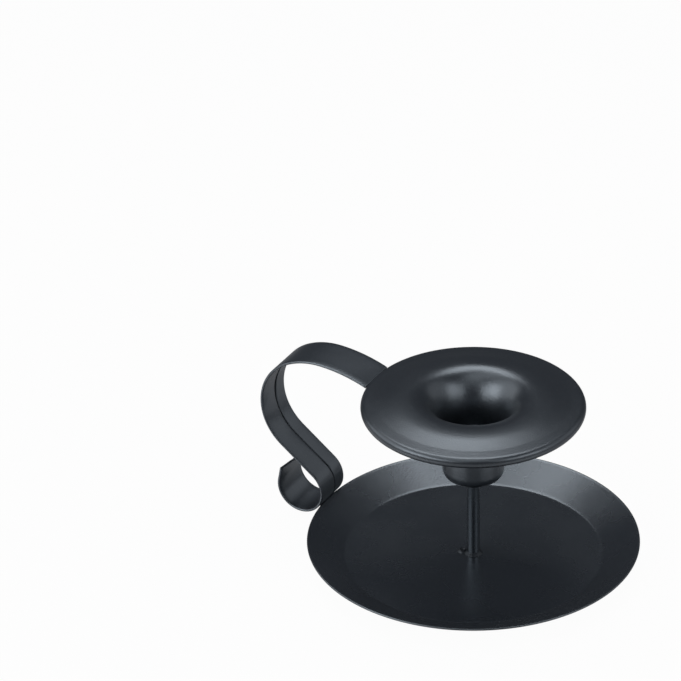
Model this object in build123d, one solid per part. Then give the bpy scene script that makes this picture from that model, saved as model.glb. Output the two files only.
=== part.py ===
from build123d import *
from math import cos, radians, sin, sqrt
import os

# A chamberstick in black coated sheet steel: a drip pan, a thin stem, a candle cup under a
# round drip disc, and a folded strap bent into a finger loop, all held together by welds.
# Z is up and the stem stands on the Z axis. The underside of the pan lies at Z = 0, and the
# strap reaches out towards -X. Lengths are in millimetres and angles in degrees.

# Drip pan, pressed from one round sheet
PAN_RIM_RADIUS = 64.5
PAN_FLOOR_RADIUS = 49.8
PAN_SHEET = 0.8
PAN_BEND_RADIUS = 2.0
PAN_FLANGE_ANGLE = 25.0

# Stem, a plain round rod between the pan and the cup
STEM_RADIUS = 2.5

# Candle cup, drawn from thin sheet; the bore takes a 22 mm dinner candle
CUP_OUTER_RADIUS = 12.0
CUP_SHEET = 0.6
CUP_BOTTOM_HEIGHT = 35.5
CUP_CORNER_RADIUS = 4.5
CUP_MOUTH_HEIGHT = 51.5

# Drip disc, with a collar that laps over the mouth of the cup and flares into a funnel
DISC_RIM_RADIUS = 43.15
DISC_SHEET = 0.8
COLLAR_LOW_EDGE = 47.0
COLLAR_STRAIGHT = 7.4
FUNNEL_THROAT_RADIUS = 20.8
FUNNEL_THROAT_ANGLE = 40.0
FUNNEL_CREST_RADIUS = 10.5
BROW_RADIUS = 31.5
BROW_ANGLE = 13.0
APRON_LENGTH = 5.26
COVE_RADIUS = 12.0
COVE_ANGLE = 3.4
ROLL_RADIUS = 2.2
ROLL_ANGLE = 230.0

# Strap handle, one sheet folded in from both edges so that it is two layers thick
STRAP_WIDTH = 17.4
STRAP_THICKNESS = 1.0
SEAM_OFFSET = 1.65
SEAM_WIDTH = 0.7
SEAM_DEPTH = 0.45
STRAP_SEAT_INSET = 0.85
STRAP_SEAT_RISE = 1.07
STRAP_START_ANGLE = 21.6
SHOULDER_RADIUS = 60.7
SHOULDER_ANGLE = 19.6
CROWN_RADIUS = 29.1
CROWN_ANGLE = 29.4
LOOP_RADIUS = 22.1
LOOP_ANGLE = 114.9
SCROLL_RADIUS = 9.6
SCROLL_ANGLE = 242.8
SCROLL_TIP = 5.4
SCROLL_TIP_SKEW = 2.6
RIM_BITE = 0.12

# Weld beads
BEAD_SWELL_SHARE = 0.45
FOOT_BEAD_LEG = 1.2
FOOT_BEAD_SPLAY = 1.5
HEAD_BEAD_LEG = 0.8
SPLASH_DISTANCE = 4.4
SPLASH_ANGLE = 195.0
SPLASH_RADIUS = 1.8
SPLASH_HEIGHT = 0.9
CRATER_RADIUS = 0.8
CRATER_DEPTH = 0.6
RIM_BEAD_RADIUS = 1.3
RIM_BEAD_LENGTH = 11.0
RIM_BEAD_DROP = 1.4
RIM_BEAD_INSET = 0.2
DISC_BEAD_RADIUS = 1.0
DISC_BEAD_LENGTH = 10.0
DISC_BEAD_DROP = 0.7
DISC_BEAD_INSET = 1.2

# Moves along a bent sheet, seen from the side, and the turn of a square corner
RUN = "run"
LEFT = "left"
RIGHT = "right"
RIGHT_ANGLE = 90.0


def side_step(start, heading, move, share=1.0):
    """Point and heading after a share of one move of the middle line of a sheet."""
    across, up = start
    if move[0] == RUN:
        length = move[1] * share
        place = (across + cos(radians(heading)) * length, up + sin(radians(heading)) * length)
        return place, heading
    side = 1.0 if move[0] == LEFT else -1.0
    radius, turn = move[1], side * move[2] * share
    centre = side_offset(start, heading, side * radius)
    return side_offset(centre, heading + turn, -side * radius), heading + turn


def side_offset(point, heading, distance):
    """The point moved to the left of the heading by a distance."""
    across, up = point
    return (across - sin(radians(heading)) * distance, up + cos(radians(heading)) * distance)


def standing(point):
    """A point of the side view placed in the XZ plane."""
    return (point[0], 0, point[1])


def sheet_section(start, heading, moves, sheet, round_start=False, round_end=True):
    """Closed section of a bent sheet, standing in the XZ plane."""
    half = sheet / 2
    left_side = []
    right_side = []
    place, angle = start, heading
    for move in moves:
        middle, middle_angle = side_step(place, angle, move, 0.5)
        end, end_angle = side_step(place, angle, move)
        for edges, distance in ((left_side, half), (right_side, -half)):
            first = standing(side_offset(place, angle, distance))
            last = standing(side_offset(end, end_angle, distance))
            if move[0] == RUN:
                edges.append(Line(first, last))
            else:
                through = standing(side_offset(middle, middle_angle, distance))
                edges.append(ThreePointArc(first, through, last))
        place, angle = end, end_angle
    caps = [sheet_end(start, heading, half, round_start, backwards=True)]
    caps.append(sheet_end(place, angle, half, round_end, backwards=False))
    return Face(Wire(left_side + right_side + caps))


def sheet_end(point, heading, half, rounded, backwards):
    """The short edge that closes a sheet, straight or half round."""
    left = standing(side_offset(point, heading, half))
    right = standing(side_offset(point, heading, -half))
    if not rounded:
        return Line(left, right)
    way_out = heading + (RIGHT_ANGLE if backwards else -RIGHT_ANGLE)
    return ThreePointArc(left, standing(side_offset(point, way_out, half)), right)


def pan_flange_run():
    """Length of the straight flange from its bend to the centre of the rim's round edge."""
    bend_across = PAN_BEND_RADIUS * sin(radians(PAN_FLANGE_ANGLE))
    across = PAN_RIM_RADIUS - PAN_SHEET / 2 - PAN_FLOOR_RADIUS - bend_across
    return across / cos(radians(PAN_FLANGE_ANGLE))


def pan_moves():
    """Floor, bend and flange of the pan from its centre outwards."""
    floor = (RUN, PAN_FLOOR_RADIUS)
    bend = (LEFT, PAN_BEND_RADIUS, PAN_FLANGE_ANGLE)
    return [floor, bend, (RUN, pan_flange_run())]


def pan_rim_centre():
    """Centre of the rim's half-round edge in the side view."""
    place, angle = (0, PAN_SHEET / 2), 0
    for move in pan_moves():
        place, angle = side_step(place, angle, move)
    return place


def drip_pan():
    """Shallow round pan with a flat floor and a straight sloping flange."""
    section = sheet_section((0, PAN_SHEET / 2), 0, pan_moves(), PAN_SHEET)
    return revolve(section, Axis.Z)


def stem():
    """Round rod from the floor of the pan to the bottom of the cup."""
    height = CUP_BOTTOM_HEIGHT - PAN_SHEET
    rod = Cylinder(STEM_RADIUS, height, align=(Align.CENTER, Align.CENTER, Align.MIN))
    return Pos(0, 0, PAN_SHEET) * rod


def candle_cup():
    """Drawn cup with a flat bottom, a round corner and a straight wall."""
    flat = (RUN, CUP_OUTER_RADIUS - CUP_CORNER_RADIUS)
    corner = (LEFT, CUP_CORNER_RADIUS - CUP_SHEET / 2, RIGHT_ANGLE)
    wall = (RUN, CUP_MOUTH_HEIGHT - CUP_BOTTOM_HEIGHT - CUP_CORNER_RADIUS)
    start = (0, CUP_BOTTOM_HEIGHT + CUP_SHEET / 2)
    section = sheet_section(start, 0, [flat, corner, wall], CUP_SHEET, round_end=False)
    return revolve(section, Axis.Z)


def roll_middle_radius():
    """Radius of the middle of the sheet in the rolled rim of the disc."""
    return ROLL_RADIUS - DISC_SHEET / 2


def roll_centre_across():
    """Distance from the axis to the centre of the rolled rim."""
    return DISC_RIM_RADIUS - ROLL_RADIUS


def disc_start():
    """Middle of the sheet at the low edge of the collar."""
    return (CUP_OUTER_RADIUS + DISC_SHEET / 2, COLLAR_LOW_EDGE)


def disc_moves_to_ledge():
    """Collar, funnel, crest, brow, apron and cove of the disc."""
    collar = (RUN, COLLAR_STRAIGHT)
    throat = (RIGHT, FUNNEL_THROAT_RADIUS - DISC_SHEET / 2, FUNNEL_THROAT_ANGLE)
    crest = (RIGHT, FUNNEL_CREST_RADIUS - DISC_SHEET / 2, RIGHT_ANGLE - FUNNEL_THROAT_ANGLE)
    brow = (RIGHT, BROW_RADIUS - DISC_SHEET / 2, BROW_ANGLE)
    cove = (LEFT, COVE_RADIUS + DISC_SHEET / 2, COVE_ANGLE)
    return [collar, throat, crest, brow, (RUN, APRON_LENGTH), cove]


def disc_moves():
    """All moves of the disc, ending in the rolled rim."""
    moves = disc_moves_to_ledge()
    place, angle = disc_start(), RIGHT_ANGLE
    for move in moves:
        place, angle = side_step(place, angle, move)
    roll_start = roll_centre_across() - roll_middle_radius() * sin(radians(angle))
    ledge = (roll_start - place[0]) / cos(radians(angle))
    moves.append((RUN, ledge))
    moves.append((RIGHT, roll_middle_radius(), ROLL_ANGLE))
    return moves


def roll_centre():
    """Centre of the rolled rim in the side view."""
    place, angle = disc_start(), RIGHT_ANGLE
    for move in disc_moves()[:-1]:
        place, angle = side_step(place, angle, move)
    return side_offset(place, angle, -roll_middle_radius())


def drip_disc():
    """Spun disc with a flared funnel in the middle and a rolled rim."""
    section = sheet_section(disc_start(), RIGHT_ANGLE, disc_moves(), DISC_SHEET)
    return revolve(section, Axis.Z)


def full_roll():
    """The rolled rim as a solid ring, which shapes whatever seats on it."""
    across, up = roll_centre()
    circle = Plane(origin=(across, 0, up), z_dir=(0, 1, 0)) * Circle(ROLL_RADIUS)
    return revolve(circle, Axis.Z)


def strap_start():
    """Middle of the strap's end, set into the rolled rim of the disc."""
    return (DISC_RIM_RADIUS - STRAP_SEAT_INSET, roll_centre()[1] + STRAP_SEAT_RISE)


def loop_moves():
    """Shoulder, crown and outer bend of the finger loop."""
    shoulder = (RIGHT, SHOULDER_RADIUS, SHOULDER_ANGLE)
    crown = (RIGHT, CROWN_RADIUS, CROWN_ANGLE)
    outer_bend = (RIGHT, LOOP_RADIUS, LOOP_ANGLE)
    return [shoulder, crown, outer_bend]


def loop_end():
    """Point and heading where the outer bend of the loop runs out."""
    place, angle = strap_start(), STRAP_START_ANGLE
    for move in loop_moves():
        place, angle = side_step(place, angle, move)
    return place, angle


def fall_length():
    """Straight length after the loop that lets the scroll rest on the rim of the pan."""
    place, angle = loop_end()
    centre = side_offset(place, angle, SCROLL_RADIUS)
    rim = pan_rim_centre()
    reach = SCROLL_RADIUS + STRAP_THICKNESS / 2 + PAN_SHEET / 2 - RIM_BITE
    away = (centre[0] - rim[0], centre[1] - rim[1])
    along = away[0] * cos(radians(angle)) + away[1] * sin(radians(angle))
    return -along - sqrt(along ** 2 - away[0] ** 2 - away[1] ** 2 + reach ** 2)


def scroll_drum():
    """Solid drum the size of the outside of the scroll, which shapes the bead below it."""
    place, angle = loop_end()
    place, angle = side_step(place, angle, (RUN, fall_length()))
    centre = side_offset(place, angle, SCROLL_RADIUS)
    drum = Cylinder(SCROLL_RADIUS + STRAP_THICKNESS / 2, STRAP_WIDTH)
    return Pos(*outwards(centre)) * Rot(RIGHT_ANGLE, 0, 0) * drum


def strap_moves():
    """All moves of the strap from the disc to the tip of the scroll."""
    fall = (RUN, fall_length())
    scroll = (LEFT, SCROLL_RADIUS, SCROLL_ANGLE)
    return loop_moves() + [fall, scroll, (RUN, SCROLL_TIP)]


def outwards(point):
    """A point of the side view on the handle's side of the stem."""
    return (-point[0], 0, point[1])


def strap_path():
    """Middle line of the strap in space."""
    edges = []
    place, angle = strap_start(), STRAP_START_ANGLE
    for move in strap_moves():
        middle, middle_angle = side_step(place, angle, move, 0.5)
        end, end_angle = side_step(place, angle, move)
        if move[0] == RUN:
            edges.append(Line(outwards(place), outwards(end)))
        else:
            edges.append(ThreePointArc(outwards(place), outwards(middle), outwards(end)))
        place, angle = end, end_angle
    return Wire(edges), place, angle


def strap_outline():
    """Cross-section of the folded strap: round hems, and the seam of the two folds."""
    half_width = STRAP_WIDTH / 2
    half = STRAP_THICKNESS / 2
    hem = half_width - half
    gap = SEAM_WIDTH / 2
    edges = [
        Line((-hem, -half), (hem, -half)),
        ThreePointArc((hem, -half), (half_width, 0), (hem, half)),
        Line((hem, half), (SEAM_OFFSET + gap, half)),
        Line((SEAM_OFFSET + gap, half), (SEAM_OFFSET, half - SEAM_DEPTH)),
        Line((SEAM_OFFSET, half - SEAM_DEPTH), (SEAM_OFFSET - gap, half)),
        Line((SEAM_OFFSET - gap, half), (-hem, half)),
        ThreePointArc((-hem, half), (-half_width, 0), (-hem, -half)),
    ]
    return Face(Wire(edges))


def tip_cutter(end, angle):
    """Wedge that cuts the tip of the scroll at a slight skew."""
    half_width = STRAP_WIDTH / 2
    margin = STRAP_THICKNESS
    along = (-cos(radians(angle)), 0, sin(radians(angle)))
    flat = Plane(origin=outwards(end), x_dir=(0, 1, 0), z_dir=(along[2], 0, -along[0]))
    forward = 1 if flat.y_dir.dot(Vector(*along)) > 0 else -1
    corners = [
        (-half_width - margin, 0),
        (half_width, -forward * SCROLL_TIP_SKEW),
        (half_width + margin, -forward * SCROLL_TIP_SKEW),
        (half_width + margin, forward * margin),
        (-half_width - margin, forward * margin),
    ]
    outline = flat * make_face(Polyline(*corners, close=True))
    return extrude(outline, STRAP_THICKNESS, both=True)


def handle_strap():
    """Folded strap from the rim of the disc round the finger loop to the scroll."""
    path, end, angle = strap_path()
    slope = radians(STRAP_START_ANGLE)
    ahead = (-cos(slope), 0, sin(slope))
    start = outwards(strap_start())
    section = Plane(origin=start, x_dir=(0, 1, 0), z_dir=ahead) * strap_outline()
    strap = sweep(section, path=path)
    strap = strap - full_roll() - drip_pan()
    strap = strap - tip_cutter(end, angle)
    return largest_solid(strap)


def largest_solid(shape):
    """The main solid of a cut shape, without loose slivers."""
    return max(shape.solids(), key=lambda solid: solid.volume)


def ring_bead(leg_out, leg_up, height):
    """Fillet bead round the stem; its rise is negative where it hangs."""
    corner = (STEM_RADIUS, height)
    top = (STEM_RADIUS, height + leg_up)
    toe = (STEM_RADIUS + leg_out, height)
    swell = (STEM_RADIUS + leg_out * BEAD_SWELL_SHARE, height + leg_up * BEAD_SWELL_SHARE)
    edges = [Line(standing(corner), standing(top)), Line(standing(toe), standing(corner))]
    edges.append(ThreePointArc(standing(top), standing(swell), standing(toe)))
    return revolve(Face(Wire(edges)), Axis.Z)


def weld_splash():
    """Spot of weld on the floor beside the stem, with a crater in the middle."""
    dome_radius = (SPLASH_RADIUS ** 2 + SPLASH_HEIGHT ** 2) / (2 * SPLASH_HEIGHT)
    dome = Pos(0, 0, PAN_SHEET + SPLASH_HEIGHT - dome_radius) * Sphere(dome_radius)
    crater = Pos(0, 0, PAN_SHEET + SPLASH_HEIGHT + CRATER_RADIUS - CRATER_DEPTH)
    dome = dome - crater * Sphere(CRATER_RADIUS)
    keep = Cylinder(2 * SPLASH_RADIUS, SPLASH_HEIGHT, align=(Align.CENTER, Align.CENTER, Align.MIN))
    dome = dome & Pos(0, 0, PAN_SHEET) * keep
    turn = radians(SPLASH_ANGLE)
    return Pos(SPLASH_DISTANCE * cos(turn), SPLASH_DISTANCE * sin(turn), 0) * dome


def stem_foot_weld():
    """Bead that holds the stem to the pan, with its splash."""
    bead = ring_bead(FOOT_BEAD_SPLAY, FOOT_BEAD_LEG, PAN_SHEET)
    splash = weld_splash() - Cylinder(STEM_RADIUS, CUP_BOTTOM_HEIGHT)
    return (bead + splash).clean()


def stem_head_weld():
    """Bead that holds the cup to the stem."""
    return ring_bead(HEAD_BEAD_LEG, -HEAD_BEAD_LEG, CUP_BOTTOM_HEIGHT)


def cross_bead(radius, length, place):
    """Round-ended bead lying across the strap."""
    half = length / 2
    nose = radius * (1 - sqrt(0.5))
    edges = [
        Line((0, -half, 0), (0, half, 0)),
        ThreePointArc((0, half, 0), (0, half - nose, radius - nose), (0, half - radius, radius)),
        Line((0, half - radius, radius), (0, radius - half, radius)),
        ThreePointArc((0, radius - half, radius), (0, nose - half, radius - nose), (0, -half, 0)),
    ]
    return Pos(*outwards(place)) * revolve(Face(Wire(edges)), Axis.Y)


def handle_rim_weld():
    """Bead under the rim of the pan that holds the bend of the scroll."""
    rim = pan_rim_centre()
    place = (rim[0] + RIM_BEAD_INSET, rim[1] - RIM_BEAD_DROP)
    bead = cross_bead(RIM_BEAD_RADIUS, RIM_BEAD_LENGTH, place)
    return largest_solid(bead - scroll_drum() - drip_pan())


def handle_disc_weld():
    """Bead under the end of the strap that holds it to the rolled rim."""
    seat = strap_start()
    place = (seat[0] + DISC_BEAD_INSET, seat[1] - DISC_BEAD_DROP)
    bead = cross_bead(DISC_BEAD_RADIUS, DISC_BEAD_LENGTH, place)
    return largest_solid(bead - full_roll() - handle_strap())


PIECES = {
    "drip_pan": drip_pan,
    "stem": stem,
    "candle_cup": candle_cup,
    "drip_disc": drip_disc,
    "handle_strap": handle_strap,
    "stem_foot_weld": stem_foot_weld,
    "stem_head_weld": stem_head_weld,
    "handle_rim_weld": handle_rim_weld,
    "handle_disc_weld": handle_disc_weld,
}

os.makedirs("parts", exist_ok=True)
for name, make in PIECES.items():
    piece = make()
    piece.label = name
    export_step(piece, f"parts/{name}.step")
    box = piece.bounding_box()
    print(f"{name}: volume {piece.volume:.1f}, from {box.min}, to {box.max}")
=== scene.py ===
# %% [markdown]
# # A chamberstick with a finger loop
#
# A chamberstick is a candle holder made to be carried about: a drip pan, a stem, a cup for the
# candle, a drip disc round its mouth, and a strap bent into a loop for a finger. The solids
# made in CAD are loaded first, as a frame that never moves. Everything that is modelled below
# stands exactly where those solids stand, but has the finish and the small forms that a plain
# solid lacks.

# %% Load the frame
import math

import bmesh
import bpy
from mathutils import Euler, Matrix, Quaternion, Vector


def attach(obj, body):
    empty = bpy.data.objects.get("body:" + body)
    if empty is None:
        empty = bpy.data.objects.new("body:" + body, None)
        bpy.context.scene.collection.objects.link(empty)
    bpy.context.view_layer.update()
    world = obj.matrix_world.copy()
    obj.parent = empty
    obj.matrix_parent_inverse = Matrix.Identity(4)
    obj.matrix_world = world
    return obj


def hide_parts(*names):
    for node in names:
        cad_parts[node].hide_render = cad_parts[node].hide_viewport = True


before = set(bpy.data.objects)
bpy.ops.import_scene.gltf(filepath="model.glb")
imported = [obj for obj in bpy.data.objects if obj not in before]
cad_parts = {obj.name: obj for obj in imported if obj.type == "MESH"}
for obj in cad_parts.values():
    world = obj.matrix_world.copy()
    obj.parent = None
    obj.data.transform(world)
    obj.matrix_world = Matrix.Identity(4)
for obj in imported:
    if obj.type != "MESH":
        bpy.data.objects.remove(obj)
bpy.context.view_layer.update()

print("nodes:", sorted(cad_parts))

# %% [markdown]
# ## Sheet, side on
#
# Every sheet piece here, the pan, the disc, the cup and the strap, is one sheet of metal that
# runs straight or bends. It could be drawn as a curve by hand. A list of moves says the same
# thing in the words of a bending bench: run so far, then bend left or right round such a
# radius, through such an angle. Sizes are in millimetres and angles in degrees until a mesh
# is made.

# %% Units and moves
MM = 0.001
RUN, LEFT, RIGHT = "run", "left", "right"


def beside(place, heading, distance):
    """The place moved square to the left of the heading."""
    return (place[0] - math.sin(heading) * distance, place[1] + math.cos(heading) * distance)


def step_along(place, heading, move, share=1.0):
    """Where a share of one move ends, and which way it points there."""
    if move[0] == RUN:
        length = move[1] * share
        ahead = (math.cos(heading) * length, math.sin(heading) * length)
        return (place[0] + ahead[0], place[1] + ahead[1]), heading
    side = 1.0 if move[0] == LEFT else -1.0
    turn = side * math.radians(move[2]) * share
    centre = beside(place, heading, side * move[1])
    return beside(centre, heading + turn, -side * move[1]), heading + turn


def move_length(move):
    """Length of the middle line of one move."""
    return move[1] if move[0] == RUN else move[1] * math.radians(move[2])


def walk(start, heading, moves, spacing):
    """Stations along a sheet: across, up, heading and the length walked so far."""
    place, angle, walked = start, math.radians(heading), 0.0
    stations = [(place[0], place[1], angle, walked)]
    for move in moves:
        steps = max(2, math.ceil(move_length(move) / spacing))
        for step in range(1, steps + 1):
            point, turned = step_along(place, angle, move, step / steps)
            stations.append((point[0], point[1], turned, walked + move_length(move) * step / steps))
        place, angle = step_along(place, angle, move)
        walked += move_length(move)
    return stations


# %% Close a sheet
ROUND_STEPS = 6


def round_edge(station, half, start, forwards):
    """Points of the half-round edge of a sheet, from one face to the other."""
    across, up, heading, _ = station
    points = []
    for step in range(1, ROUND_STEPS):
        turn = start - math.pi * step / ROUND_STEPS
        ahead = math.cos(turn) * half * (1 if forwards else -1)
        side = math.sin(turn) * half * (1 if forwards else -1)
        place = beside((across, up), heading, side)
        points.append((place[0] + math.cos(heading) * ahead, place[1] + math.sin(heading) * ahead))
    return points


def sheet_loop(stations, sheet, start_round, end_round):
    """Outline of a sheet seen from the side, both faces and both edges."""
    half = sheet / 2
    left = [beside(s[:2], s[2], half) for s in stations]
    right = [beside(s[:2], s[2], -half) for s in reversed(stations)]
    far = round_edge(stations[-1], half, math.pi / 2, True) if end_round else []
    near = round_edge(stations[0], half, math.pi / 2, False) if start_round else []
    return left + far + right + near


print("a 10 mm run and a quarter bend:", len(walk((0, 0), 0, [(RUN, 10), (LEFT, 5, 90)], 1)), "stations")

# %% [markdown]
# ## Meshes
#
# Round pieces could be made with the Screw modifier on a profile curve. Here the rings are
# made by hand, because then each point can carry a number that says how much of an edge it
# is, and the finish wears there. The strap is the same work along a path instead of a circle.

# %% Turn an outline round the axis
TURNS = 224


def finished_mesh(name, points, faces, edge_marks):
    """Mesh object with smooth faces and its edge marks."""
    mesh = bpy.data.meshes.new(name)
    mesh.from_pydata(points, [], faces)
    work = bmesh.new()
    work.from_mesh(mesh)
    bmesh.ops.recalc_face_normals(work, faces=work.faces[:])
    work.to_mesh(mesh)
    work.free()
    mesh.shade_smooth()
    marks = mesh.attributes.new("edge_mark", "FLOAT", "POINT")
    marks.data.foreach_set("value", edge_marks)
    piece = bpy.data.objects.new(name, mesh)
    bpy.context.scene.collection.objects.link(piece)
    return piece


def turned_piece(name, outline, edge_mark, shift=None, turns=TURNS):
    """Outline of a round piece turned about the stem's axis."""
    points, faces, marks, rings = [], [], [], []
    for across, up in outline:
        count = 1 if across < 1e-6 else turns
        rings.append((len(points), count))
        for number in range(count):
            angle = 2 * math.pi * number / turns
            out, rise = shift(across, up, angle) if shift else (across, up)
            points.append((out * math.cos(angle) * MM, out * math.sin(angle) * MM, rise * MM))
            marks.append(edge_mark(across, up))
    for (first, size), (second, other) in zip(rings, rings[1:] + rings[:1]):
        for number in range(turns if max(size, other) > 1 else 0):
            following = (number + 1) % turns
            corners = [first + number % size, first + following % size]
            corners += [second + following % other, second + number % other]
            faces.append(list(dict.fromkeys(corners)))
    return finished_mesh(name, points, faces, marks)


def lay_on_frame(piece, node, material):
    """The piece stands for a CAD node and gets its finish."""
    piece.data.materials.append(material)
    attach(piece, "root")
    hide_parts(node)
    print(piece.name, len(piece.data.vertices), "points,", len(piece.data.polygons), "faces")


# %% [markdown]
# ## The black coat
#
# The whole holder was welded first and then sprayed and baked, so one skin of satin black
# covers it. Close up such a coat isn't flat: it dries with a fine pebbled grain, a few specks
# stand proud, and it is a little thinner on edges. Each of these is a node group, so that
# every material can use it with values of its own.

# %% Node helpers
def put(tree, kind, label, **settings):
    """A node with a label and its settings."""
    node = tree.nodes.new(kind)
    node.label = label
    for key, value in settings.items():
        setattr(node, key, value)
    return node


def feed(tree, socket, source):
    """A socket gets either a plain value or a link."""
    if isinstance(source, bpy.types.NodeSocket):
        tree.links.new(source, socket)
    else:
        socket.default_value = source


def reckon(tree, operation, first, second=0.0, label=""):
    """Output of one Math node."""
    node = put(tree, "ShaderNodeMath", label or operation.lower(), operation=operation)
    feed(tree, node.inputs[0], first)
    feed(tree, node.inputs[1], second)
    return node.outputs[0]


def spread(tree, source, low, high, to_low, to_high):
    """Output of one Map Range node."""
    node = put(tree, "ShaderNodeMapRange", "spread")
    for socket, value in zip(node.inputs, (source, low, high, to_low, to_high)):
        feed(tree, socket, value)
    return node.outputs[0]


def noise(tree, vector, scale, detail, label):
    """Output of one Noise Texture node."""
    node = put(tree, "ShaderNodeTexNoise", label)
    feed(tree, node.inputs["Vector"], vector)
    feed(tree, node.inputs["Scale"], scale)
    feed(tree, node.inputs["Detail"], detail)
    return node.outputs[0]


def new_group(name, inputs, outputs):
    """Empty shader group with named number sockets."""
    group = bpy.data.node_groups.new(name, "ShaderNodeTree")
    for label, value in inputs.items():
        socket = group.interface.new_socket(label, in_out="INPUT", socket_type="NodeSocketFloat")
        socket.default_value = value
    for label in outputs:
        group.interface.new_socket(label, in_out="OUTPUT", socket_type="NodeSocketFloat")
    entry = group.nodes.new("NodeGroupInput")
    leave = group.nodes.new("NodeGroupOutput")
    return group, entry.outputs, leave.inputs


# %% [markdown]
# ### Grain
#
# Sprayed enamel dries with a pebbled skin, half a millimetre from pebble to pebble. A
# Voronoi texture would give hard cells, so noise is used, at two sizes. The same group says
# where the film is a shade thicker, in clouds of a few centimetres, and where a speck sits.

# %% Grain group
def make_grain():
    """Pebbled height, specks and slow clouds of the coat."""
    ins = {"Pebble": 0.0004, "Speck": 0.0005, "Cloud": 0.02}
    group, given, out = new_group("coat_grain", ins, ("Height", "Specks", "Clouds"))
    where = put(group, "ShaderNodeTexCoord", "piece coordinates").outputs["Object"]
    size = {key: reckon(group, "DIVIDE", 1.0, given[key], key) for key in ins}
    pebbles = noise(group, where, size["Pebble"], 1.5, "pebbles")
    swell = noise(group, where, reckon(group, "MULTIPLY", size["Pebble"], 0.3), 1.0, "swell")
    height = reckon(group, "ADD", pebbles, reckon(group, "MULTIPLY", swell, 0.2))
    specks = noise(group, where, size["Speck"], 0.0, "specks")
    clouds = noise(group, where, size["Cloud"], 3.0, "clouds")
    feed(group, out["Height"], height)
    feed(group, out["Specks"], spread(group, specks, 0.68, 0.78, 0.0, 1.0))
    feed(group, out["Clouds"], spread(group, clouds, 0.3, 0.7, 0.0, 1.0))
    return group


grain_group = make_grain()
print("grain outputs:", [s.name for s in grain_group.interface.items_tree if s.in_out == "OUTPUT"])

# %% [markdown]
# ### Rubbed edges
#
# A coat pulls back from a sharp edge while it bakes and is then touched there first, so edges
# are a little smoother and greyer. The mesh says where an edge is, and noise breaks the mark
# up so that it isn't a drawn line.

# %% Rub group
def make_rub():
    """Mask of rubbed edges."""
    group, given, out = new_group("edge_rub", {"Edge": 0.0, "Break Up": 0.6}, ("Rub",))
    where = put(group, "ShaderNodeTexCoord", "piece coordinates").outputs["Object"]
    patches = noise(group, where, 260.0, 3.0, "patches")
    loss = reckon(group, "MULTIPLY", patches, given["Break Up"])
    left = reckon(group, "SUBTRACT", given["Edge"], loss)
    feed(group, out["Rub"], spread(group, left, 0.05, 0.75, 0.0, 1.0))
    return group


rub_group = make_rub()

# %% [markdown]
# ### Rings of the lathe
#
# The cup and the disc are formed on a lathe, and the roller leaves fine rings that the coat
# doesn't quite hide. The distance from the axis and the height go into one noise, stretched
# to nothing round the axis, so the rings run level round every wall.

# %% Ring group
def make_rings():
    """Height of fine rings round the axis."""
    group, given, out = new_group("lathe_rings", {"Spacing": 0.0006}, ("Height",))
    where = put(group, "ShaderNodeTexCoord", "piece coordinates").outputs["Object"]
    parts = put(group, "ShaderNodeSeparateXYZ", "x, y, z")
    feed(group, parts.inputs[0], where)
    flat = put(group, "ShaderNodeCombineXYZ", "x and y")
    feed(group, flat.inputs["X"], parts.outputs["X"])
    feed(group, flat.inputs["Y"], parts.outputs["Y"])
    far = put(group, "ShaderNodeVectorMath", "distance from the axis", operation="LENGTH")
    feed(group, far.inputs[0], flat.outputs[0])
    wall = put(group, "ShaderNodeCombineXYZ", "wall place")
    feed(group, wall.inputs["X"], far.outputs["Value"])
    feed(group, wall.inputs["Z"], parts.outputs["Z"])
    scale = reckon(group, "DIVIDE", 1.0, given["Spacing"])
    feed(group, out["Height"], noise(group, wall.outputs[0], scale, 2.0, "rings"))
    return group


ring_group = make_rings()

# %% [markdown]
# ### One coat, several pieces
#
# All pieces share the recipe: nearly black, a touch blue, satin. They differ in how coarse
# the grain looks, how much of the lathe's rings shows and how glossy the film dried. Where the
# spray ran thick, on the rod and the strap, it mirrors more, and on the rough welds less.

# %% Coat material
COAT_DARK = (0.0080, 0.0096, 0.0122, 1.0)
COAT_LIGHT = (0.0105, 0.0125, 0.0155, 1.0)
COAT_SHEEN = (0.80, 0.90, 1.0, 1.0)
SPECK_COLOUR = (0.034, 0.038, 0.043, 1.0)
RUBBED_COLOUR = (0.055, 0.057, 0.061, 1.0)
COAT_IOR = 2.0


def use_group(tree, group, **values):
    """A group placed in a material with values of its own."""
    node = put(tree, "ShaderNodeGroup", group.name)
    node.node_tree = group
    for key, value in values.items():
        feed(tree, node.inputs[key.replace("_", " ")], value)
    return node.outputs


def blend_colour(tree, share, first, second, label):
    """Colour between two colours."""
    node = put(tree, "ShaderNodeMix", label, data_type="RGBA")
    feed(tree, node.inputs[0], share)
    feed(tree, node.inputs[6], first)
    feed(tree, node.inputs[7], second)
    return node.outputs[2]


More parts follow.
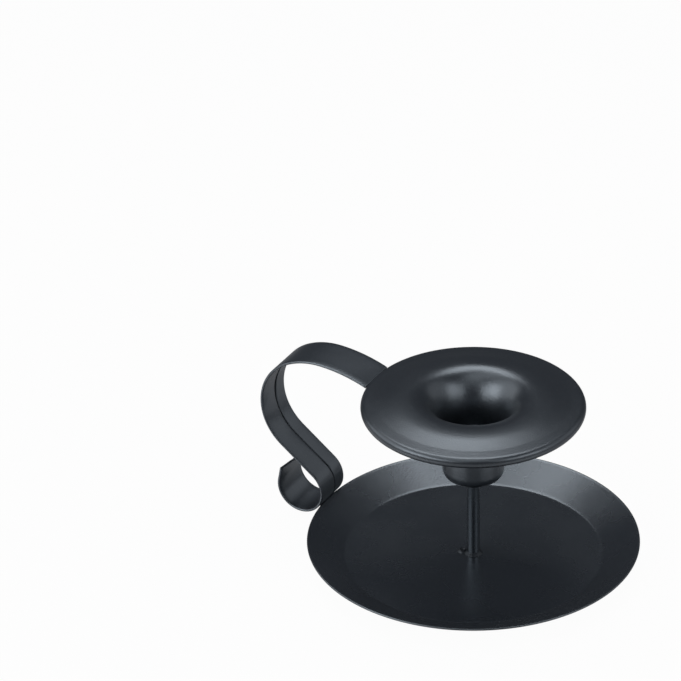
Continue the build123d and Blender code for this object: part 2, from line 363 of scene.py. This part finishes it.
def coat_material(name, pebble, grain_depth, satin, gloss_swing, ring_depth=0.0, ior=COAT_IOR):
    """Satin black coat with its grain, rings and rubbed edges."""
    material = bpy.data.materials.new(name)
    material.use_nodes = True
    tree = material.node_tree
    shader = tree.nodes["Principled BSDF"]
    edge = put(tree, "ShaderNodeAttribute", "edge mark", attribute_name="edge_mark").outputs["Fac"]
    grain = use_group(tree, grain_group, Pebble=pebble, Speck=pebble * 1.3, Cloud=0.022)
    rub = use_group(tree, rub_group, Edge=edge, Break_Up=0.55)["Rub"]
    colour = blend_colour(tree, grain["Clouds"], COAT_DARK, COAT_LIGHT, "thick and thin film")
    specks = reckon(tree, "MULTIPLY", grain["Specks"], 0.5)
    colour = blend_colour(tree, specks, colour, SPECK_COLOUR, "specks")
    colour = blend_colour(tree, reckon(tree, "MULTIPLY", rub, 0.5), colour, RUBBED_COLOUR, "rubbed")
    feed(tree, shader.inputs["Base Color"], colour)
    rough = spread(tree, grain["Clouds"], 0.0, 1.0, satin + gloss_swing, satin - gloss_swing)
    rough = reckon(tree, "SUBTRACT", rough, reckon(tree, "MULTIPLY", rub, 0.06))
    feed(tree, shader.inputs["Roughness"], rough)
    shader.inputs["IOR"].default_value = ior
    shader.inputs["Specular Tint"].default_value = COAT_SHEEN
    height = reckon(tree, "MULTIPLY", grain["Height"], grain_depth)
    if ring_depth:
        rings = use_group(tree, ring_group, Spacing=0.0007)["Height"]
        height = reckon(tree, "ADD", height, reckon(tree, "MULTIPLY", rings, ring_depth))
    bump = put(tree, "ShaderNodeBump", "pebbles and rings")
    bump.inputs["Distance"].default_value = 1.0
    feed(tree, bump.inputs["Height"], height)
    feed(tree, shader.inputs["Normal"], bump.outputs[0])
    return material


WET_FILM_IOR, DRY_FILM_IOR = 2.2, 1.5
pan_coat = coat_material(
    "black_coat_pan", pebble=0.00055, grain_depth=0.000032, satin=0.27, gloss_swing=0.03)
disc_coat = coat_material(
    "black_coat_disc", pebble=0.00055, grain_depth=0.000048, satin=0.31, gloss_swing=0.03,
    ring_depth=0.000004)
cup_coat = coat_material(
    "black_coat_cup", pebble=0.00036, grain_depth=0.000012, satin=0.28, gloss_swing=0.02,
    ring_depth=0.000030)
rod_coat = coat_material(
    "black_coat_rod", pebble=0.00040, grain_depth=0.000016, satin=0.27, gloss_swing=0.02,
    ior=WET_FILM_IOR)
strap_coat = coat_material(
    "black_coat_strap", pebble=0.00058, grain_depth=0.000028, satin=0.32, gloss_swing=0.03,
    ior=WET_FILM_IOR)
weld_coat = coat_material(
    "black_coat_weld", pebble=0.00055, grain_depth=0.000030, satin=0.38, gloss_swing=0.03,
    ior=DRY_FILM_IOR)
print("materials:", [m.name for m in bpy.data.materials if m.name.startswith("black_coat")])

# %% [markdown]
# ## Drip pan
#
# The pan catches wax. It is pressed from one round sheet: a flat floor, a tight bend and a
# plain sloping flange with its raw edge rounded by the coat. It could be a scaled cylinder
# with an inset, but an outline turned round the axis has the true thickness at the rim, which
# shows from every side.

# %% Pan
PAN_RIM_RADIUS = 64.5
PAN_FLOOR_RADIUS = 49.8
PAN_SHEET = 0.8
PAN_BEND_RADIUS = 2.0
PAN_FLANGE_ANGLE = 25.0
PAN_WAVE = 0.05


def pan_stations():
    """Middle of the pan's sheet from the axis to the rim."""
    slope = math.radians(PAN_FLANGE_ANGLE)
    across = PAN_RIM_RADIUS - PAN_SHEET / 2 - PAN_FLOOR_RADIUS - PAN_BEND_RADIUS * math.sin(slope)
    moves = [(RUN, PAN_FLOOR_RADIUS), (LEFT, PAN_BEND_RADIUS, PAN_FLANGE_ANGLE)]
    moves.append((RUN, across / math.cos(slope)))
    return walk((0, PAN_SHEET / 2), 0, moves, 0.9)


def pan_edge(across, up):
    """How much of a rim a point of the pan is."""
    return max(0.0, 1.0 - (PAN_RIM_RADIUS - across) / 0.8)


def pan_shift(across, up, angle):
    """The flange of a pressed pan is never quite true."""
    share = max(0.0, (across - PAN_FLOOR_RADIUS) / (PAN_RIM_RADIUS - PAN_FLOOR_RADIUS))
    wave = math.sin(3 * angle + 0.4) * 0.6 + math.sin(5 * angle + 2.0) * 0.4
    return across, up - PAN_WAVE * share * (1.0 + wave) / 2


pan_line = pan_stations()
pan_rim = pan_line[-1]
pan_loop = sheet_loop(pan_line, PAN_SHEET, False, True)
pan = turned_piece("pressed_pan", pan_loop, pan_edge, pan_shift)
lay_on_frame(pan, "drip_pan", pan_coat)

# %% [markdown]
# ## Stem
#
# The stem is a length of drawn rod. A cylinder would do, but a drawn rod has faint waves
# along it, which is what makes its long highlight wander a little.

# %% Stem
STEM_RADIUS = 2.5
CUP_BOTTOM_HEIGHT = 35.5
STEM_WAVE = 0.015


def stem_outline():
    """Outline of the rod from the pan's floor to the bottom of the cup."""
    count = 40
    side = []
    for number in range(count + 1):
        height = PAN_SHEET + (CUP_BOTTOM_HEIGHT - PAN_SHEET) * number / count
        wave = STEM_WAVE * (1 + math.sin(height * 0.9) * math.cos(height * 0.37)) / 2
        side.append((STEM_RADIUS - wave, height))
    return [(0, PAN_SHEET)] + side + [(0, CUP_BOTTOM_HEIGHT)]


rod = turned_piece("stem_rod", stem_outline(), lambda across, up: 0.0, turns=72)
lay_on_frame(rod, "stem", rod_coat)

# %% [markdown]
# ## Candle cup
#
# The cup is drawn from thinner sheet, with a round bottom corner. It holds a 22 mm dinner
# candle. It is modelled hollow, because the view from above looks down into it.

# %% Cup
CUP_OUTER_RADIUS = 12.0
CUP_SHEET = 0.6
CUP_CORNER_RADIUS = 4.5
CUP_MOUTH_HEIGHT = 51.5


def cup_outline():
    """Outline of the cup from the axis round its corner to the mouth and back."""
    flat = (RUN, CUP_OUTER_RADIUS - CUP_CORNER_RADIUS)
    corner = (LEFT, CUP_CORNER_RADIUS - CUP_SHEET / 2, 90.0)
    depth = CUP_MOUTH_HEIGHT - CUP_BOTTOM_HEIGHT - CUP_CORNER_RADIUS - CUP_SHEET / 2
    start = (0, CUP_BOTTOM_HEIGHT + CUP_SHEET / 2)
    return sheet_loop(walk(start, 0, [flat, corner, (RUN, depth)], 0.7), CUP_SHEET, False, True)


def cup_edge(across, up):
    """How much of a mouth edge a point of the cup is."""
    return max(0.0, 1.0 - (CUP_MOUTH_HEIGHT - up) / 0.5)


cup = turned_piece("drawn_cup", cup_outline(), cup_edge)
lay_on_frame(cup, "candle_cup", cup_coat)

# %% [markdown]
# ## Drip disc
#
# The disc is spun from one sheet. Its collar laps over the cup, its throat flares open like a
# funnel, then it humps over, slopes off and dips into a shallow cove before the rim rolls
# under. The highlights of the photograph sit on exactly these curves, so each is a move of
# its own, tangent to the next, and not a smoothed guess.

# %% Disc
DISC_RIM_RADIUS = 43.15
DISC_SHEET = 0.8
COLLAR_LOW_EDGE = 47.0
COLLAR_STRAIGHT = 7.4
THROAT = (20.8, 40.0)
CREST = (10.5, 50.0)
BROW = (31.5, 13.0)
APRON_LENGTH = 5.26
COVE = (12.0, 3.4)
ROLL = (2.2, 230.0)


def disc_stations():
    """Middle of the disc's sheet from the collar to the end of the roll, and the roll's centre."""
    half = DISC_SHEET / 2
    moves = [(RUN, COLLAR_STRAIGHT)]
    moves += [(RIGHT, radius - half, turn) for radius, turn in (THROAT, CREST, BROW)]
    moves += [(RUN, APRON_LENGTH), (LEFT, COVE[0] + half, COVE[1])]
    start = (CUP_OUTER_RADIUS + half, COLLAR_LOW_EDGE)
    across, up, heading, _ = walk(start, 90, moves, 2.0)[-1]
    curl = ROLL[0] - half
    ledge = (DISC_RIM_RADIUS - ROLL[0] - curl * math.sin(heading) - across) / math.cos(heading)
    moves += [(RUN, ledge), (RIGHT, curl, ROLL[1])]
    ledge_end = step_along((across, up), heading, (RUN, ledge))[0]
    return walk(start, 90, moves, 0.45), beside(ledge_end, heading, -curl)


def disc_edge(across, up):
    """How much of a rim a point of the disc is."""
    return max(0.0, 1.0 - (DISC_RIM_RADIUS - across) / 0.5) * 0.8


disc_line, roll_centre = disc_stations()
disc = turned_piece("spun_disc", sheet_loop(disc_line, DISC_SHEET, True, True), disc_edge)
lay_on_frame(disc, "drip_disc", disc_coat)
print("centre of the rolled rim:", roll_centre)

# %% [markdown]
# ## Strap handle
#
# The strap is one thin sheet folded in from both edges, so that no raw edge meets the finger.
# The two folds meet in a seam on the inner face, which shows in the photograph as a dark line
# that opens where the loop bends. A flat ribbon with a dark stripe would look the same from
# one side only. Here the folded sheet itself is swept along the loop, hollow hems and all. Its
# wide fold is a little crowned where the loop bends, as a fold that was pressed flat and then
# bent is, so its two halves catch the light differently.

# %% Strap path
STRAP_WIDTH = 17.4
STRAP_THICKNESS = 1.0
STRAP_SEAT_INSET = 0.85
STRAP_SEAT_RISE = 1.07
STRAP_START_ANGLE = 21.6
LOOP_MOVES = [(RIGHT, 60.7, 19.6), (RIGHT, 29.1, 29.4), (RIGHT, 22.1, 114.9)]
SCROLL = (9.6, 242.8)
TIP_LENGTH = 5.4
TIP_SKEW = 2.6
RIM_BITE = 0.12

strap_start = (DISC_RIM_RADIUS - STRAP_SEAT_INSET, roll_centre[1] + STRAP_SEAT_RISE)


def fall_length(place, heading):
    """Straight length after the loop that lets the scroll rest on the rim of the pan."""
    centre = beside(place, heading, SCROLL[0])
    reach = SCROLL[0] + STRAP_THICKNESS / 2 + PAN_SHEET / 2 - RIM_BITE
    away = (centre[0] - pan_rim[0], centre[1] - pan_rim[1])
    along = away[0] * math.cos(heading) + away[1] * math.sin(heading)
    return -along - math.sqrt(along ** 2 - away[0] ** 2 - away[1] ** 2 + reach ** 2)


def strap_stations():
    """Middle line of the strap up to the straight tip, and the tip's own stations."""
    last = walk(strap_start, STRAP_START_ANGLE, LOOP_MOVES, 5.0)[-1]
    moves = LOOP_MOVES + [(RUN, fall_length(last[:2], last[2])), (LEFT, SCROLL[0], SCROLL[1])]
    body = walk(strap_start, STRAP_START_ANGLE, moves, 0.6)
    across, up, heading, walked = body[-1]
    tip = walk((across, up), math.degrees(heading), [(RUN, TIP_LENGTH)], 0.6)[1:]
    return body, tip


strap_body, strap_tip = strap_stations()
print("length of the strap:", round(strap_body[-1][3] + TIP_LENGTH, 1), "mm")

# %% Fold of the strap
FOLD_SHEET = 0.34
SEAM_OFFSET = 1.65
SEAM_DIP = 0.10
FLAP_DIP_LENGTH = 1.2
FLAP_STEP = 0.05
SEAM_WIDTHS = [(0, 0.4), (38, 0.5), (47, 1.4), (57, 1.25), (69, 0.55)]
SEAM_WIDTHS += [(92, 0.45), (102, 0.7), (115, 0.4), (150, 0.4)]
FLAP_POINTS = (0.0, 0.36, 0.72, 1.2, 2.4, 3.6, 4.8, 6.0, 7.2, 8.4)
FLAP_CROWNS = [(0, 0), (30, 0), (46, 0.22), (84, 0.22), (97, 0), (150, 0)]


def table_value(table, walked):
    """Value of a table at a length along the strap."""
    for (first, start), (second, end) in zip(table, table[1:]):
        if walked <= second:
            share = (walked - first) / (second - first)
            share = share * share * (3 - 2 * share)
            return start + (end - start) * share
    return table[-1][1]


def fold_line(groove, crown):
    """Middle of the folded sheet across the strap, from one free edge to the other."""
    lift = (STRAP_THICKNESS - FOLD_SHEET) / 2
    hem = (STRAP_WIDTH - STRAP_THICKNESS) / 2
    near_edge, far_edge = SEAM_OFFSET - groove / 2, SEAM_OFFSET + groove / 2
    line = []
    for inward in FLAP_POINTS:
        dip = SEAM_DIP * max(0.0, 1.0 - inward / FLAP_DIP_LENGTH) ** 2
        swell = crown * math.sin(math.pi * inward / (near_edge + hem))
        line.append((near_edge - inward, -lift + dip - swell))
    line += [(-hem, -lift)]
    line += [(-hem - lift * math.sin(t), -lift * math.cos(t)) for t in hem_turns()]
    line += [(-hem + 2 * hem * number / 8, lift) for number in range(9)]
    line += [(hem + lift * math.sin(t), lift * math.cos(t)) for t in hem_turns()]
    line += [(hem, -lift)]
    for share in (3.0, 2.0, 1.0, 0.6, 0.3, 0.0):
        dip = (SEAM_DIP - FLAP_STEP) * max(0.0, 1.0 - share) ** 2
        line.append((far_edge + share * FLAP_DIP_LENGTH, -lift + dip))
    return line


def hem_turns():
    """Angles round a hem, without its two ends."""
    return [math.pi * number / 8 for number in range(1, 8)]


def fold_section(groove, sheet, crown=0.0):
    """Closed outline of the folded sheet: outside, free edge, inside, free edge."""
    line = fold_line(groove, crown)
    outer, inner = [], []
    for number, (y, d) in enumerate(line):
        before, after = line[max(0, number - 1)], line[min(len(line) - 1, number + 1)]
        run, rise = after[0] - before[0], after[1] - before[1]
        length = math.hypot(run, rise)
        outer.append((y + rise / length * sheet / 2, d - run / length * sheet / 2))
        inner.append((y - rise / length * sheet / 2, d + run / length * sheet / 2))
    last = fold_nose(line[-1], line[-2], outer[-1], inner[-1], sheet)
    first = fold_nose(line[0], line[1], inner[0], outer[0], sheet)
    return outer + last + inner[::-1] + first


def fold_nose(end, before, one, other, sheet):
    """Rounded free edge of the folded sheet."""
    length = math.hypot(end[0] - before[0], end[1] - before[1])
    way = ((end[0] - before[0]) / length, (end[1] - before[1]) / length)
    nose = []
    for share, push in ((0.22, 0.38), (0.5, 0.5), (0.78, 0.38)):
        y = one[0] + (other[0] - one[0]) * share + way[0] * sheet * push
        nose.append((y, one[1] + (other[1] - one[1]) * share + way[1] * sheet * push))
    return nose


print("points of the fold:", len(fold_section(0.5, FOLD_SHEET)))


# %% Sweep the strap
def strap_point(station, y, d):
    """A point of the section set on the strap's path."""
    across, up = beside(station[:2], station[2], d)
    return (-across * MM, y * MM, up * MM)


def strap_mesh():
    """Folded strap from the rim of the disc to the skew tip of the scroll."""
    points, marks, sections = [], [], []
    half = STRAP_WIDTH / 2
    for station in strap_body:
        groove, crown = table_value(SEAM_WIDTHS, station[3]), table_value(FLAP_CROWNS, station[3])
        section = fold_section(groove, FOLD_SHEET, crown)
        sections.append((station, section, 0.0))
    for station in strap_tip:
        groove = table_value(SEAM_WIDTHS, strap_body[-1][3] + station[3])
        section = fold_section(groove, FOLD_SHEET)
        sections.append((station, section, TIP_SKEW * station[3] / TIP_LENGTH))
    last = sections[-1]
    sections.append((last[0], fold_section(0.5, FOLD_SHEET * 0.7), last[2]))
    for station, section, skew in sections:
        for y, d in section:
            back = skew * (y + half) / STRAP_WIDTH
            place = step_along(station[:2], station[2], (RUN, -back))[0]
            points.append(strap_point((place[0], place[1], station[2]), y, d))
            marks.append(max(0.0, 1.0 - (half - abs(y)) / 0.45))
    size = len(sections[0][1])
    faces = [list(range(size))[::-1]]
    for number in range(len(sections) - 1):
        first = number * size
        for item in range(size):
            following = (item + 1) % size
            corners = [first + item, first + following, first + size + following]
            faces.append(corners + [first + size + item])
    faces.append(list(range(len(points) - size, len(points))))
    return finished_mesh("folded_strap", points, faces, marks)


strap = strap_mesh()
lay_on_frame(strap, "handle_strap", strap_coat)

# %% [markdown]
# ## Welds
#
# The stem is welded to the pan, and a drop of weld that missed has left a little crater on
# the floor beside it. A weld bead isn't a smooth ring: it freezes in ripples. They are made in
# the mesh, because a bump alone wouldn't show on the bead's outline.

# %% Welds round the stem
FOOT_BEAD_LEG = 1.0
FOOT_BEAD_SPLAY = 1.2
HEAD_BEAD_LEG = 0.8
BEAD_STEPS = 10
DROP_ANGLE = math.radians(-32)


def ring_bead_outline(leg_out, leg_up, height):
    """Outline of a bead in the corner between the stem and a flat face."""
    face = []
    for number in range(BEAD_STEPS + 1):
        turn = math.pi / 2 * number / BEAD_STEPS
        out, rise = leg_out * (1 - math.cos(turn)), leg_up * (1 - math.sin(turn))
        fill = 0.22 * math.sin(2 * turn)
        face.append((STEM_RADIUS + out + leg_out * fill, height + rise + leg_up * fill))
    core = STEM_RADIUS - 0.4
    return [(core, height)] + [(core, height + leg_up)] + face


def foot_shift(across, up, angle):
    """Ripples of the foot bead, and the drop that froze on its side."""
    share = max(0.0, across - STEM_RADIUS) / FOOT_BEAD_SPLAY
    ripple = math.sin(19 * angle) * 0.04 + math.sin(5 * angle + 1.0) * 0.06 - 0.1
    away = math.atan2(math.sin(angle - DROP_ANGLE), math.cos(angle - DROP_ANGLE))
    drop = 0.55 * math.exp(-(away / 0.27) ** 2)
    rise = (up - PAN_SHEET) * (1.0 + ripple + drop * 0.5) if share > 0 else up - PAN_SHEET
    return across + share * (ripple + drop * 0.35), PAN_SHEET + max(0.0, rise)


foot = turned_piece(
    "foot_bead", ring_bead_outline(FOOT_BEAD_SPLAY, FOOT_BEAD_LEG, PAN_SHEET),
    lambda across, up: 0.0, foot_shift, 180)
head = turned_piece(
    "head_bead", ring_bead_outline(HEAD_BEAD_LEG, -HEAD_BEAD_LEG, CUP_BOTTOM_HEIGHT),
    lambda across, up: 0.0, turns=96)
lay_on_frame(head, "stem_head_weld", weld_coat)

# %% Splash and crater
SPLASH_DISTANCE = 4.3
SPLASH_ANGLE = math.radians(195)
SPLASH_RADIUS = 2.1
SPLASH_HEIGHT = 1.2
CRATER_RADIUS = 1.1
CRATER_DEPTH = 1.0


def splash_outline():
    """Outline of a frozen drop with a crater in the middle."""
    outline = []
    for number in range(25):
        out = SPLASH_RADIUS * number / 24
        dome = SPLASH_HEIGHT * (1 - (out / SPLASH_RADIUS) ** 2) ** 0.8
        bowl = CRATER_DEPTH * max(0.0, 1 - (out / CRATER_RADIUS) ** 2)
        outline.append((out, PAN_SHEET + max(0.02, dome - bowl)))
    return outline + [(SPLASH_RADIUS, PAN_SHEET), (0, PAN_SHEET)]


def splash_shift(across, up, angle):
    """A drop never freezes quite round."""
    lobe = 1.0 + 0.05 * math.sin(2 * angle + 0.7) - 0.05 * math.cos(3 * angle)
    return across * min(1.0, lobe), up


splash = turned_piece(
    "weld_splash", splash_outline(), lambda across, up: 0.0, splash_shift, 64)
splash.location.x = SPLASH_DISTANCE * math.cos(SPLASH_ANGLE) * MM
splash.location.y = SPLASH_DISTANCE * math.sin(SPLASH_ANGLE) * MM
for weld in (foot, splash):
    lay_on_frame(weld, "stem_foot_weld", weld_coat)

# %% [markdown]
# Two short beads hold the strap, one under its end at the disc and one behind the rim of the
# pan. They lie across the strap, so they are turned about a line along Y, with the ripples of
# a torch that moved along it.

# %% Beads across the strap
RIM_BEAD = {"radius": 1.3, "length": 11.0, "across": 0.2, "drop": 1.4}
DISC_BEAD = {"radius": 1.0, "length": 10.0, "across": 1.2, "drop": 0.7}
RIPPLE_PITCH = 1.1
RIPPLE_SHARE = 0.07


def cross_bead(name, bead, seat, node):
    """Round-ended bead across the strap, laid where two pieces meet."""
    radius, half = bead["radius"], bead["length"] / 2
    middle = (seat[0] + bead["across"], seat[1] - bead["drop"])
    count, around = 64, 32
    points, faces = [], []
    for number in range(count + 1):
        y = -half * math.cos(math.pi * number / count)
        end = max(0.0, (abs(y) - (half - radius)) / radius)
        body = radius * math.sqrt(max(0.0, 1 - end * end))
        ripple = 1 - RIPPLE_SHARE * (1 + math.cos(2 * math.pi * y / RIPPLE_PITCH)) / 2
        for item in range(around):
            turn = 2 * math.pi * item / around
            lean = 0.12 * math.sin(turn) * radius
            out = (body * ripple) * math.cos(turn)
            rise = (body * ripple) * math.sin(turn)
            points.append((-(middle[0] + out) * MM, (y - lean * (1 - end)) * MM, (middle[1] + rise) * MM))
    for number in range(count):
        for item in range(around):
            following = (item + 1) % around
            first = number * around
            corners = [first + item, first + following]
            faces.append(corners + [first + around + following, first + around + item])
    piece = finished_mesh(name, points, faces, [0.0] * len(points))
    lay_on_frame(piece, node, weld_coat)


cross_bead("rim_bead", RIM_BEAD, pan_rim, "handle_rim_weld")
cross_bead("disc_bead", DISC_BEAD, strap_start, "handle_disc_weld")

# %% [markdown]
# ## The set
#
# The holder stands on a white floor with a satin surface, so the cup mirrors the side
# lights in it as two soft streaks. Round the holder the floor carries a painted pool of light,
# and beyond it painted dimness. The main light is a large soft box high behind the holder:
# it draws the broad highlight on the disc's front slope and on the far side of the pan. Two
# small boxes low beside the camera make the two bright patches in the funnel, and two panels
# fill in from the sides. One strong lamp would be simpler, but black paint shows little more
# than what it mirrors, so its shapes need large lights to mirror. The set is laid out as the
# camera sees it and then turned with the camera to the frame.

# %% Directions
CAMERA_AZIMUTH = math.radians(28.0)
CAMERA_ELEVATION = math.radians(31.6)
AIM = Vector((0.0, 0.0, 0.035))


def as_seen(right, away, up):
    """A place given from the camera's side, turned to the frame."""
    turned = Vector((right, away, up))
    turned.rotate(Euler((0, 0, CAMERA_AZIMUTH)))
    return turned


# %% Floor
FLOOR_COLOUR = (0.30, 0.30, 0.31, 1.0)
OWN_LIGHT_SEEN = 0.94
OWN_LIGHT_IN_GLOSS = 0.10
SHEEN_ROUGHNESS = 0.24
SHEEN_IOR = 2.8
# Reach and glow of a painted pool of light round the holder, and the painted dimness beyond it.
PAINTED_POOL_REACH = (0.24, 0.62)
PAINTED_POOL_WHITE = (1.03, 1.03, 1.03, 1.0)
PALE = (1.0, 1.0, 1.0, 1.0)
DIM = (0.074, 0.080, 0.092, 1.0)


def white_floor():
    """Floor that reads white and keeps the object's shadow, with a painted pool of light round the holder and
    painted dimness beyond it.
    """
    material = bpy.data.materials.new("white_floor")
    material.use_nodes = True
    tree = material.node_tree
    shader = tree.nodes["Principled BSDF"]
    shader.inputs["Roughness"].default_value = 0.8
    shader.inputs["Coat Weight"].default_value = 1.0
    shader.inputs["Coat Roughness"].default_value = SHEEN_ROUGHNESS
    shader.inputs["Coat IOR"].default_value = SHEEN_IOR
    path = put(tree, "ShaderNodeLightPath", "what looks")
    looks = reckon(tree, "MAXIMUM", path.outputs["Is Camera Ray"], path.outputs["Is Transmission Ray"])
    seen = reckon(tree, "MULTIPLY", looks, OWN_LIGHT_SEEN)
    gloss = reckon(tree, "MULTIPLY", path.outputs["Is Glossy Ray"], OWN_LIGHT_IN_GLOSS)
    where = put(tree, "ShaderNodeTexCoord", "floor coordinates").outputs["Object"]
    away = put(tree, "ShaderNodeVectorMath", "distance from the holder", operation="LENGTH")
    feed(tree, away.inputs[0], where)
    # Painted pool of light: near the holder the floor glows a touch brighter than white and has a grey colour.
    # Beyond the pool, everything but the camera's view gets a painted dim glow and colour.
    far = spread(tree, away.outputs["Value"], *PAINTED_POOL_REACH, 0.0, 1.0)
    beyond = blend_colour(tree, path.outputs["Is Camera Ray"], DIM, PALE, "floor beyond the painted pool")
    glow = put(tree, "ShaderNodeEmission", "white to the eye")
    feed(tree, glow.inputs["Color"], blend_colour(tree, far, PAINTED_POOL_WHITE, beyond, "painted pool of light"))
    feed(tree, shader.inputs["Base Color"], blend_colour(tree, far, FLOOR_COLOUR, beyond, "floor colour inside and beyond the painted pool"))
    both = put(tree, "ShaderNodeMixShader", "lit and white")
    feed(tree, both.inputs[0], reckon(tree, "MAXIMUM", seen, gloss))
    feed(tree, both.inputs[1], shader.outputs[0])
    feed(tree, both.inputs[2], glow.outputs[0])
    feed(tree, tree.nodes["Material Output"].inputs["Surface"], both.outputs[0])
    return material


def make_floor():
    """Large flat floor just under the pan."""
    mesh = bpy.data.meshes.new("floor")
    reach = 8.0
    corners = [(-reach, -reach, 0), (reach, -reach, 0), (reach, reach, 0), (-reach, reach, 0)]
    mesh.from_pydata(corners, [], [(0, 1, 2, 3)])
    floor = bpy.data.objects.new("floor", mesh)
    floor.location.z = -0.00002
    floor.data.materials.append(white_floor())
    bpy.context.scene.collection.objects.link(floor)


make_floor()


# %% Lamps
def soft_box(name, place, wide, high, power, twist=0.0):
    """Soft light aimed at the holder, turned about its own middle by a twist in degrees."""
    data = bpy.data.lights.new(name, "AREA")
    data.shape = "RECTANGLE"
    data.size, data.size_y = wide, high
    data.energy = power
    lamp = bpy.data.objects.new(name, data)
    lamp.location = place
    aimed = (AIM - place).to_track_quat("-Z", "Y")
    lamp.rotation_euler = (aimed @ Quaternion((0, 0, 1), math.radians(twist))).to_euler()
    lamp.visible_camera = False
    bpy.context.scene.collection.objects.link(lamp)
    print(name, [round(v, 2) for v in place], power, "W")


def around(right_of_camera, elevation, distance):
    """Place at an angle to the right of the camera and above the floor."""
    level = math.cos(math.radians(elevation)) * distance
    side = math.radians(right_of_camera)
    return as_seen(math.sin(side) * level, -math.cos(side) * level, math.sin(math.radians(elevation)) * distance)


soft_box("overhead_box", as_seen(-0.13, 1.09, 2.49), 1.92, 1.12, 23.4, -24.0)
soft_box("top_box", as_seen(-0.45, -0.42, 2.66), 2.2, 1.2, 7.4)
soft_box("front_top_box", as_seen(0.0, -1.55, 2.2), 2.2, 1.2, 3.8)
soft_box("left_box", around(-52, 30, 1.8), 1.5, 0.75, 9.4)
soft_box("right_box", around(52, 31, 1.8), 1.3, 0.75, 5.2)
soft_box("left_panel", around(-90, 32, 2.2), 3.0, 2.0, 20.0)
soft_box("right_panel", around(93, 30, 2.2), 3.0, 2.0, 8.0)

# %% [markdown]
# The room beyond the lights is dim in everything that the coat mirrors, so that the pan's floor
# stays nearly black. Only the camera sees it pale, as the ground of the photograph is.

# %% Room
def make_room():
    """Dim room that looks pale to the eye."""
    world = bpy.data.worlds.new("room")
    bpy.context.scene.world = world
    world.use_nodes = True
    tree = world.node_tree
    path = put(tree, "ShaderNodeLightPath", "what looks")
    seen = blend_colour(tree, path.outputs["Is Camera Ray"], DIM, PALE, "pale to the eye")
    feed(tree, tree.nodes["Background"].inputs["Color"], seen)


make_room()

# %% [markdown]
# ## Camera
#
# The photograph was taken from about two metres with a long lens, so lines hardly converge.
# The holder is the front one of two, to the lower right of the middle. The lens isn't
# shifted for that. The camera is turned a little, so that other views still frame the object.

# %% Camera
IMAGE_SIZE = 681
FOCAL_PIXELS = 5454.5
SENSOR = 36.0
CAMERA_DISTANCE = 2.1
AIM_RIGHT, AIM_DOWN = 132.8, 136.6


def make_camera():
    """Camera at the photograph's angle, with the holder at its place in the frame."""
    data = bpy.data.cameras.new("camera")
    data.sensor_width = SENSOR
    data.lens = FOCAL_PIXELS * SENSOR / IMAGE_SIZE
    data.clip_start, data.clip_end = 0.05, 50.0
    camera = bpy.data.objects.new("camera", data)
    level = math.cos(CAMERA_ELEVATION)
    back = as_seen(0.0, -level, math.sin(CAMERA_ELEVATION))
    camera.location = AIM + back * CAMERA_DISTANCE
    straight = (-back).to_track_quat("-Z", "Y")
    seen = Vector((AIM_RIGHT / FOCAL_PIXELS, -AIM_DOWN / FOCAL_PIXELS, -1.0))
    camera.rotation_mode = "QUATERNION"
    camera.rotation_quaternion = straight @ seen.rotation_difference(Vector((0, 0, -1)))
    bpy.context.scene.collection.objects.link(camera)
    bpy.context.scene.camera = camera
    print("lens", round(data.lens, 1), "mm")


make_camera()
bpy.context.scene.view_settings.view_transform = "Standard"
